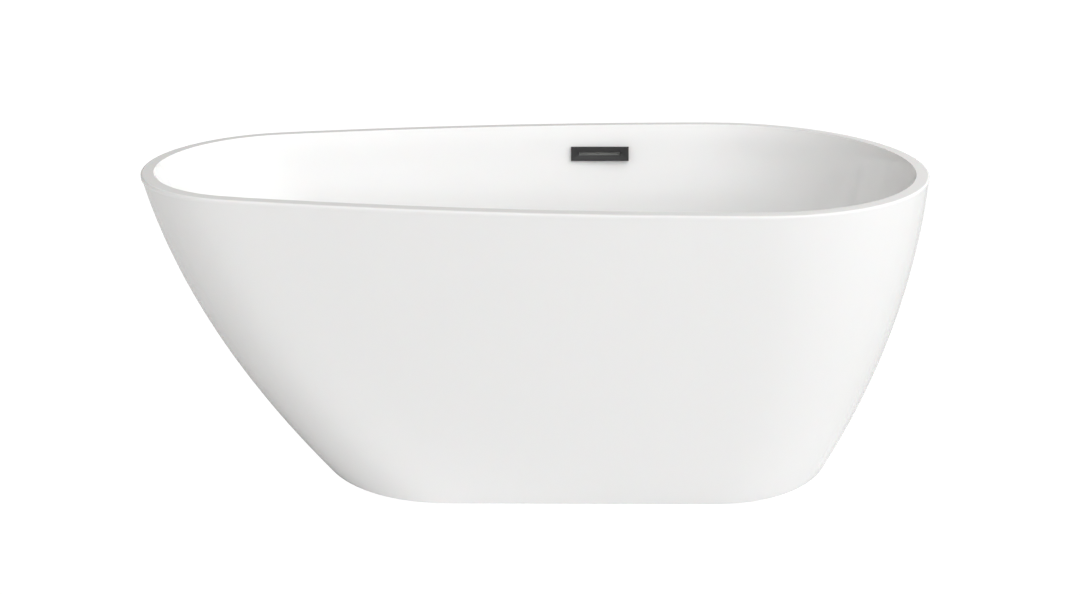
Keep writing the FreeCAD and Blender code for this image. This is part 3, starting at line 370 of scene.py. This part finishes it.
MATERIALS = {
    "white_acrylic": gloss_acrylic(),
    "black_finish": matt_black(),
    "glass_fibre": glass_fibre(),
    "plywood": plywood(),
    "coated_steel": coated_tube(),
    "zinc_steel": zinc_plate(),
    "brass": turned_brass(),
    "spring_steel": spring_wire(),
    "foot_plastic": plain_plastic("black nylon", (0.03, 0.03, 0.031), 0.5, 0.35),
    "white_plastic": plain_plastic("white polypropylene", (0.8, 0.8, 0.78), 0.36, 0.3),
    "grey_plastic": plain_plastic("grey polypropylene", (0.3, 0.31, 0.32), 0.42, 0.3),
    "rubber": rubber(),
}
SLOT_OF = {part["node"]: part["material_slot"] for part in frame["record"]["subparts"]}


def dress_cad_nodes():
    """Give every CAD piece the material of its slot."""
    for name, node in NODES.items():
        for slot in node.material_slots:
            slot.material = MATERIALS[SLOT_OF[name]]


# ---- mesh helpers -------------------------------------------------------------------------------
def add_piece(name, mesh, slot, body, *replaced):
    piece = bpy.data.objects.new(name, mesh)
    bpy.context.scene.collection.objects.link(piece)
    mesh.materials.clear()
    mesh.materials.append(MATERIALS[slot])
    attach(piece, body)
    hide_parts(*replaced)
    return piece


def shade_by_angle(bm, degrees):
    """Smooth faces, with sharp edges where two faces meet at more than an angle."""
    limit = math.radians(degrees)
    for face in bm.faces:
        face.smooth = True
    for edge in bm.edges:
        edge.smooth = len(edge.link_faces) == 2 and edge.calc_face_angle(math.pi) < limit


def joined_copy(node):
    """The CAD node's mesh with its loose triangles joined and its flat faces made whole."""
    bm = bmesh.new()
    bm.from_mesh(NODES[node].data)
    bmesh.ops.remove_doubles(bm, verts=bm.verts, dist=1e-6)
    bmesh.ops.dissolve_limit(bm, angle_limit=math.radians(0.4), verts=bm.verts, edges=bm.edges)
    return bm


def finished_mesh(name, bm, degrees=30.0):
    bmesh.ops.recalc_face_normals(bm, faces=bm.faces)
    shade_by_angle(bm, degrees)
    mesh = bpy.data.meshes.new(name)
    bm.to_mesh(mesh)
    bm.free()
    return mesh


# ---- geometry trees -----------------------------------------------------------------------------
def geometry_tree(name, inputs):
    """A tree with named inputs, name -> (type, default), plus the material its result gets."""
    tree = bpy.data.node_groups.new(name, "GeometryNodeTree")
    for label, (kind, value) in inputs.items():
        socket = tree.interface.new_socket(label, in_out="INPUT", socket_type="NodeSocket" + kind)
        socket.default_value = value
    tree.interface.new_socket("Material", in_out="INPUT", socket_type="NodeSocketMaterial")
    tree.interface.new_socket("Geometry", in_out="OUTPUT", socket_type="NodeSocketGeometry")
    nodes = Nodes(tree)
    return tree, nodes, nodes.add("NodeGroupInput").outputs


def end_tree(n, geometry, given):
    """Realize Instances, Set Material, and out."""
    real = n.add("GeometryNodeRealizeInstances", {0: geometry}).outputs[0]
    done = n.add("GeometryNodeSetMaterial", {"Geometry": real, "Material": given["Material"]})
    n.add("NodeGroupOutput", {0: done.outputs[0]})


def grown_mesh(tree, slot, **values):
    """Run a tree with these inputs and keep its result as a plain mesh."""
    maker = bpy.data.objects.new("maker", bpy.data.meshes.new("maker"))
    bpy.context.scene.collection.objects.link(maker)
    modifier = maker.modifiers.new("grow", "NODES")
    modifier.node_group = tree
    values["Material"] = MATERIALS[slot]
    for item in tree.interface.items_tree:
        if item.in_out == "INPUT" and item.name.replace(" ", "_") in values:
            modifier[item.identifier] = values[item.name.replace(" ", "_")]
    depsgraph = bpy.context.evaluated_depsgraph_get()
    mesh = bpy.data.meshes.new_from_object(maker.evaluated_get(depsgraph))
    maker.modifiers.remove(modifier)
    bpy.data.objects.remove(maker)
    return mesh


def thread_tree():
    """A right-hand thread standing on the origin: a grid rolled round Z, its radius rising and
    falling with the distance along the helix."""
    tree, n, given = geometry_tree(
        "threaded length", {"Radius": ("Float", 0.006), "Length": ("Float", 0.05),
                            "Pitch": ("Float", 0.00175), "Depth": ("Float", 0.0009),
                            "Steps Round": ("Int", 28), "Steps per Pitch": ("Int", 8)})
    turns = n.math("DIVIDE", given["Length"], given["Pitch"])
    rows = n.math("MULTIPLY", turns, given["Steps per Pitch"])
    columns = n.math("ADD", given["Steps Round"], 1.0)
    grid = n.add("GeometryNodeMeshGrid", {"Size X": 1.0, "Size Y": 1.0, "Vertices X": columns,
                                          "Vertices Y": rows}).outputs["Mesh"]
    place = n.add("ShaderNodeSeparateXYZ", {0: n.add("GeometryNodeInputPosition").outputs[0]}).outputs
    around = n.math("ADD", place["X"], 0.5)
    along = n.math("ADD", place["Y"], 0.5)
    phase = n.math("FRACT", n.math("SUBTRACT", n.math("MULTIPLY", along, turns), around))
    groove = n.math("MULTIPLY", n.math("ABSOLUTE", n.math("SUBTRACT", phase, 0.5)), 2.0)
    left = n.math("MULTIPLY", n.math("SUBTRACT", 1.0, along), turns)
    runout = n.math("SUBTRACT", 1.0, left, clamp=True)
    cut = n.math("MULTIPLY", n.math("MAXIMUM", groove, runout), given["Depth"])
    radius = n.math("SUBTRACT", given["Radius"], cut)
    angle = n.math("MULTIPLY", around, 2.0 * math.pi)
    rolled = n.add("ShaderNodeCombineXYZ", {
        "X": n.math("MULTIPLY", radius, n.math("COSINE", angle)),
        "Y": n.math("MULTIPLY", radius, n.math("SINE", angle)),
        "Z": n.math("MULTIPLY", along, given["Length"])}).outputs[0]
    rod = n.add("GeometryNodeSetPosition", {"Geometry": grid, "Position": rolled}).outputs[0]
    closed = n.add("GeometryNodeMergeByDistance", {"Geometry": rod, "Distance": 1e-6}).outputs[0]
    end_tree(n, n.add("GeometryNodeSetShadeSmooth", {"Geometry": closed}).outputs[0], given)
    return tree


def rib_tree():
    """Half-round ribs laid down a cone, evenly spaced round Z."""
    tree, n, given = geometry_tree(
        "ribs down a cone", {"Count": ("Int", 16), "Rib Radius": ("Float", 0.001),
                             "Inner Radius": ("Float", 0.015), "Outer Radius": ("Float", 0.023),
                             "Top": ("Float", 0.013), "Bottom": ("Float", 0.005)})
    start = n.add("ShaderNodeCombineXYZ", {"X": given["Inner Radius"], "Z": given["Top"]}).outputs[0]
    end = n.add("ShaderNodeCombineXYZ", {"X": given["Outer Radius"], "Z": given["Bottom"]}).outputs[0]
    line = n.add("GeometryNodeCurvePrimitiveLine", {"Start": start, "End": end}).outputs[0]
    ring = n.add("GeometryNodeCurvePrimitiveCircle", {"Resolution": 10,
                                                      "Radius": given["Rib Radius"]}).outputs[0]
    rib = n.add("GeometryNodeCurveToMesh", {"Curve": line, "Profile Curve": ring,
                                            "Fill Caps": True}).outputs[0]
    spots = n.add("GeometryNodePoints", {"Count": given["Count"]}).outputs[0]
    step = n.math("DIVIDE", 2.0 * math.pi, given["Count"])
    turn = n.math("MULTIPLY", n.add("GeometryNodeInputIndex").outputs[0], step)
    spin = n.add("ShaderNodeCombineXYZ", {"Z": turn}).outputs[0]
    ribs = n.add("GeometryNodeInstanceOnPoints", {"Points": spots, "Instance": rib, "Rotation": spin})
    end_tree(n, ribs.outputs[0], given)
    return tree


def weld_tree():
    """A ring of weld ripples: overlapping drops round Z, each a little different in size."""
    tree, n, given = geometry_tree(
        "weld ring", {"Ring Radius": ("Float", 0.0102), "Drop Radius": ("Float", 0.0013),
                      "Count": ("Int", 30), "Seed": ("Int", 4)})
    ring = n.add("GeometryNodeMeshCircle", {"Vertices": given["Count"],
                                            "Radius": given["Ring Radius"]}).outputs[0]
    drop = n.add("GeometryNodeMeshIcoSphere", {"Radius": given["Drop Radius"],
                                               "Subdivisions": 3}).outputs[0]
    smooth = n.add("GeometryNodeSetShadeSmooth", {"Geometry": drop}).outputs[0]
    size = n.add("FunctionNodeRandomValue", {2: 0.78, 3: 1.12, "Seed": given["Seed"]},
                 data_type="FLOAT")
    drops = n.add("GeometryNodeInstanceOnPoints", {"Points": ring, "Instance": smooth})
    n.link(size.outputs[1], drops.inputs["Scale"])
    end_tree(n, drops.outputs[0], given)
    return tree


def screw_head_tree():
    """A pan head that hangs down from the origin, with a six-sided socket."""
    tree, n, given = geometry_tree(
        "socket head", {"Head Radius": ("Float", 0.005), "Head Height": ("Float", 0.003),
                        "Socket Width": ("Float", 0.003), "Socket Depth": ("Float", 0.0016),
                        "Steps": ("Int", 40)})
    ball = n.add("GeometryNodeMeshUVSphere", {"Segments": given["Steps"], "Rings": 24,
                                              "Radius": 1.0}).outputs[0]
    place = n.add("GeometryNodeInputPosition").outputs[0]
    axis = n.add("ShaderNodeSeparateXYZ", {0: place}).outputs
    # a flattened dome: full width at the seat, rounding in to a nearly flat crown
    level = n.math("MULTIPLY", n.math("POWER", n.math("MULTIPLY", axis["Z"], -1.0, clamp=True), 0.62),
                   -1.0)
    dome = n.add("ShaderNodeCombineXYZ", {
        "X": n.math("MULTIPLY", axis["X"], given["Head Radius"]),
        "Y": n.math("MULTIPLY", axis["Y"], given["Head Radius"]),
        "Z": n.math("MULTIPLY", level, given["Head Height"])}).outputs[0]
    head = n.add("GeometryNodeSetPosition", {"Geometry": ball, "Position": dome}).outputs[0]
    head = n.add("GeometryNodeSetShadeSmooth", {"Geometry": head}).outputs[0]
    drop = n.math("MULTIPLY", given["Socket Depth"], 2.0)
    key = n.add("GeometryNodeMeshCylinder", {"Vertices": 6, "Radius": given["Socket Width"],
                                             "Depth": drop}).outputs["Mesh"]
    low = n.add("ShaderNodeCombineXYZ", {"Z": n.math("MULTIPLY", given["Head Height"], -1.0)}).outputs[0]
    key = n.add("GeometryNodeTransform", {"Geometry": key, "Translation": low}).outputs[0]
    cut = n.add("GeometryNodeMeshBoolean", {"Mesh 1": head, "Mesh 2": key}, operation="DIFFERENCE",
                solver="EXACT")
    end_tree(n, cut.outputs[0], given)
    return tree


# ---- hidden frame and feet ----------------------------------------------------------------------
KEY_FROM = 0.012               # flats for the spanner, above the stud's lower end
KEY_HEIGHT = 0.008
KEY_CORNER = 0.0052


def middle_of(box):
    low, high = box
    return 0.5 * (low[0] + high[0]), 0.5 * (low[1] + high[1])


def turned(bm, profile, x, y, steps):
    """Add a surface of revolution through (radius, height) points; the ends are closed."""
    rings = []
    for radius, height in profile:
        rings.append([bm.verts.new((x + radius * math.cos(2 * math.pi * i / steps),
                                    y + radius * math.sin(2 * math.pi * i / steps), height))
                      for i in range(steps)])
    for lower, upper in zip(rings, rings[1:]):
        for i in range(steps):
            j = (i + 1) % steps
            bm.faces.new((lower[i], lower[j], upper[j], upper[i]))
    bm.faces.new(list(reversed(rings[0])))
    bm.faces.new(rings[-1])


def threaded_stud(place, thread):
    """Plain pin in the pad's socket, six flats for a spanner, then the thread up to the top."""
    node = "foot_stud_" + place
    low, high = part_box(node)
    x, y = middle_of((low, high))
    radius = 0.5 * (high[0] - low[0])
    flats = low[2] + KEY_FROM
    start = flats + KEY_HEIGHT
    mesh = grown_mesh(thread, "zinc_steel", Radius=radius, Length=high[2] - start, Pitch=THREAD_PITCH,
                      Depth=THREAD_DEPTH, Steps_Round=THREAD_STEPS)
    bm = bmesh.new()
    bm.from_mesh(mesh)
    bmesh.ops.translate(bm, verts=bm.verts, vec=(x, y, start))
    for height in (start, high[2]):
        rim = [e for e in bm.edges if e.is_boundary and abs(e.verts[0].co.z - height) < 1e-5]
        bmesh.ops.contextual_create(bm, geom=rim)
    edge = 0.1 * radius
    turned(bm, [(radius - edge, low[2]), (radius, low[2] + edge), (radius, flats - edge),
                (radius - edge, flats)], x, y, THREAD_STEPS)
    turned(bm, [(KEY_CORNER, flats), (KEY_CORNER, start)], x, y, 6)
    add_piece("threaded_stud_" + place, finished_mesh("threaded_stud", bm, 40.0), "zinc_steel",
              "stud_" + place, node)


def pad_ribs(place, ribs):
    """Grip ribs round the tapered side of a foot's pad."""
    low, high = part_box("foot_pad_" + place)
    x, y = middle_of((low, high))
    outer = 0.5 * (high[0] - low[0])
    height = high[2] - low[2]
    mesh = grown_mesh(ribs, "foot_plastic", Count=PAD_RIB_COUNT, Rib_Radius=PAD_RIB_RADIUS,
                      Inner_Radius=0.67 * outer, Outer_Radius=0.94 * outer,
                      Top=low[2] + 0.88 * height, Bottom=low[2] + 0.38 * height)
    mesh.transform(Matrix.Translation((x, y, 0.0)))
    add_piece("pad_ribs_" + place, mesh, "foot_plastic", "pad_" + place)


def softened(node, name, width, segments=2, degrees=30.0):
    """The CAD piece with its sharp edges rounded over, to stand for it."""
    bm = joined_copy(node)
    limit = math.radians(degrees)
    sharp = [e for e in bm.edges if len(e.link_faces) == 2 and e.calc_face_angle(0.0) > limit]
    bmesh.ops.bevel(bm, geom=sharp, offset=width, segments=segments, profile=0.5, affect="EDGES",
                    clamp_overlap=True)
    add_piece(name, finished_mesh(name, bm, 35.0), SLOT_OF[node], "tub", node)


def loose_parts(node):
    """Boxes of the separate solids in a node, as (low, high), in order along X and then Y."""
    bm = bmesh.new()
    bm.from_mesh(NODES[node].data)
    bmesh.ops.remove_doubles(bm, verts=bm.verts, dist=1e-6)
    left = set(bm.verts)
    boxes = []
    while left:
        reached = [left.pop()]
        for vert in reached:
            for edge in vert.link_edges:
                other = edge.other_vert(vert)
                if other in left:
                    left.remove(other)
                    reached.append(other)
        corners = [[pick(v.co[i] for v in reached) for i in range(3)] for pick in (min, max)]
        boxes.append(corners)
    bm.free()
    return sorted(boxes)


def joined_at(name, mesh, places, slot, *replaced, extra=None):
    """Copies of a small mesh at each place, as one piece on the tub."""
    bm = bmesh.new()
    for x, y, z in places:
        before = len(bm.verts)
        bm.from_mesh(mesh)
        bm.verts.ensure_lookup_table()
        bmesh.ops.translate(bm, verts=bm.verts[before:], vec=(x, y, z))
    if extra:
        extra(bm)
    result = bpy.data.meshes.new(name)
    bm.normal_update()
    bm.to_mesh(result)
    bm.free()
    add_piece(name, result, slot, "tub", *replaced)


def socket_screws(node, head):
    """Socket screws up into the board: a plain shank and a socketed head for each in the node."""
    boxes = loose_parts(node)
    low, high = boxes[0]
    head_radius = 0.5 * (high[0] - low[0])
    shank = 0.5 * head_radius
    mesh = grown_mesh(head, "zinc_steel", Head_Radius=head_radius, Head_Height=SCREW_HEAD_HEIGHT)

    def shanks(bm):
        for box in boxes:
            seat = box[0][2] + SCREW_HEAD_HEIGHT - SHANK_OVERLAP
            tip = box[1][2]
            profile = [(shank, seat), (shank, tip - SCREW_POINT), (SCREW_TIP_RADIUS, tip)]
            turned(bm, profile, *middle_of(box), SHANK_STEPS)

    places = [(*middle_of(box), box[0][2] + SCREW_HEAD_HEIGHT) for box in boxes]
    joined_at(node + "_socketed", mesh, places, "zinc_steel", node, extra=shanks)


def weld_rings(welds):
    """Weld ripples where each upper nut meets its cross member."""
    boxes = loose_parts("weld_nuts")
    low, high = boxes[0]
    mesh = grown_mesh(welds, "coated_steel", Ring_Radius=0.5 * WELD_SPREAD * (high[0] - low[0]))
    places = [(*middle_of(box), box[1][2]) for box in boxes]
    joined_at("weld_rings", mesh, places, "coated_steel")


def frame_details():
    thread = thread_tree()
    ribs = rib_tree()
    for place in FEET:
        threaded_stud(place, thread)
        pad_ribs(place, ribs)
    head = screw_head_tree()
    socket_screws("long_screws", head)
    socket_screws("short_screws", head)
    weld_rings(weld_tree())
    softened("lock_nuts", "lock_nuts_chamfered", NUT_BEVEL)
    softened("weld_nuts", "weld_nuts_chamfered", NUT_BEVEL)


# ---- drain and overflow -------------------------------------------------------------------------
PLUG_CHAMFER = 0.0008
PLUG_EDGE_ROUND = 0.0022
PLUG_EDGE_DROP = 0.0006        # top of the rounded edge, below the crown
PLUG_CROWN = 0.0004            # how much the middle stands above the groove's inner lip
PLUG_CENTRE = 0.0003           # radius of the small flat in the middle
PLUG_GROOVE = ((0.0005, 0.00045), (0.0003, 0.0008), (-0.0003, 0.0008), (-0.0005, 0.00042))
PLUG_EDGE_STEPS = 8
PLUG_CROWN_STEPS = 11
PLUG_STEPS = 96


def crowned_plug():
    """Push-down plug: a slightly crowned disc with a soft edge and one fine groove near it."""
    low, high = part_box("plug_cap")
    x, y = middle_of((low, high))
    radius = 0.5 * (high[0] - low[0])
    bottom, top = low[2], high[2]
    profile = [(0.86 * radius, bottom), (radius - PLUG_CHAMFER, bottom),
               (radius, bottom + PLUG_CHAMFER)]
    for i in range(PLUG_EDGE_STEPS + 1):
        turn = 0.5 * math.pi * i / PLUG_EDGE_STEPS
        profile.append((radius - PLUG_EDGE_ROUND * (1 - math.cos(turn)),
                        top - PLUG_EDGE_DROP - PLUG_EDGE_ROUND * (1 - math.sin(turn))))
    groove = 0.84 * radius
    for offset, sink in PLUG_GROOVE:
        profile.append((groove + offset, top - sink))
    for i in range(1, PLUG_CROWN_STEPS + 1):
        share = i / PLUG_CROWN_STEPS
        profile.append((groove * (1 - share) + PLUG_CENTRE * share,
                        top - PLUG_CROWN * (1 - share) ** 2))
    bm = bmesh.new()
    turned(bm, profile, x, y, PLUG_STEPS)
    add_piece("crowned_plug", finished_mesh("crowned_plug", bm, 45.0), "black_finish", "plug", "plug_cap")


# ---- studio -------------------------------------------------------------------------------------
def studio_surroundings():
    """A plain white backdrop for the camera; softly graded surroundings for light and reflections."""
    world = bpy.data.worlds.new("studio")
    bpy.context.scene.world = world
    world.use_nodes = True
    world.node_tree.nodes.clear()
    n = Nodes(world.node_tree)
    direction = n.add("ShaderNodeTexCoord").outputs["Generated"]
    x, y, z = n.add("ShaderNodeSeparateXYZ", {0: direction}).outputs
    sides = {"all round": 1.0, "right": n.math("MAXIMUM", x, 0.0),
             "front": n.math("MAXIMUM", n.math("MULTIPLY", y, -1.0), 0.0)}
    low = n.math("POWER", n.math("SUBTRACT", 1.0, n.math("MAXIMUM", z, 0.0), clamp=True), LOW_FADE)
    for side in ("right", "front"):
        sides["low " + side] = n.math("MULTIPLY", sides[side], low)
    level = 0.0
    for side, share in STUDIO_LIGHT.items():
        level = n.math("ADD", level, n.math("MULTIPLY", sides[side], share))
    level = n.math("MAXIMUM", level, DIMMEST)
    tint = n.blend(n.math("MULTIPLY", level, 1.0, clamp=True), (*WARM_SHADE, 1.0), (1.0, 1.0, 1.0, 1.0))
    graded = n.add("ShaderNodeBackground", {"Color": tint, "Strength": level})
    white = n.add("ShaderNodeBackground", {"Strength": BACKDROP, "Color": (1.0, 1.0, 1.0, 1.0)})
    seen = n.add("ShaderNodeLightPath").outputs["Is Camera Ray"]
    both = n.add("ShaderNodeMixShader", {0: seen, 1: graded.outputs[0], 2: white.outputs[0]})
    n.add("ShaderNodeOutputWorld", {"Surface": both.outputs[0]})


def studio_floor():
    """A pale floor that runs into the backdrop and keeps a trace of its own shading."""
    bm = bmesh.new()
    bmesh.ops.create_grid(bm, x_segments=1, y_segments=1, size=FLOOR_HALF)
    mesh = bpy.data.meshes.new("floor")
    bm.to_mesh(mesh)
    bm.free()
    floor = bpy.data.objects.new("floor", mesh)
    bpy.context.scene.collection.objects.link(floor)
    material, n, surface = new_material("pale floor", Roughness=0.9)
    surface.inputs["Base Color"].default_value = (FLOOR_BOUNCE, FLOOR_BOUNCE, FLOOR_BOUNCE, 1.0)
    glow = n.add("ShaderNodeEmission", {"Strength": BACKDROP})
    seen = n.math("MULTIPLY", n.add("ShaderNodeLightPath").outputs["Is Camera Ray"], FLOOR_GLOW)
    both = n.add("ShaderNodeMixShader", {0: seen, 1: surface.outputs[0], 2: glow.outputs[0]})
    n.link(both.outputs[0], material.node_tree.nodes["Material Output"].inputs["Surface"])
    mesh.materials.append(material)


def camera():
    lens = bpy.data.cameras.new("camera")
    lens.sensor_width = FILM_WIDTH
    lens.lens = FILM_WIDTH * FOCAL_SHARE
    eye = bpy.data.objects.new("camera", lens)
    bpy.context.scene.collection.objects.link(eye)
    eye.location = CAMERA_PLACE
    eye.rotation_euler = (math.radians(90.0 - CAMERA_PITCH), 0.0, 0.0)
    bpy.context.scene.camera = eye


dress_cad_nodes()
crowned_plug()
softened("overflow_cover", "overflow_cover_plate", COVER_BEVEL, 3)
frame_details()
studio_surroundings()
studio_floor()
camera()
bpy.context.scene.view_settings.view_transform = "Standard"
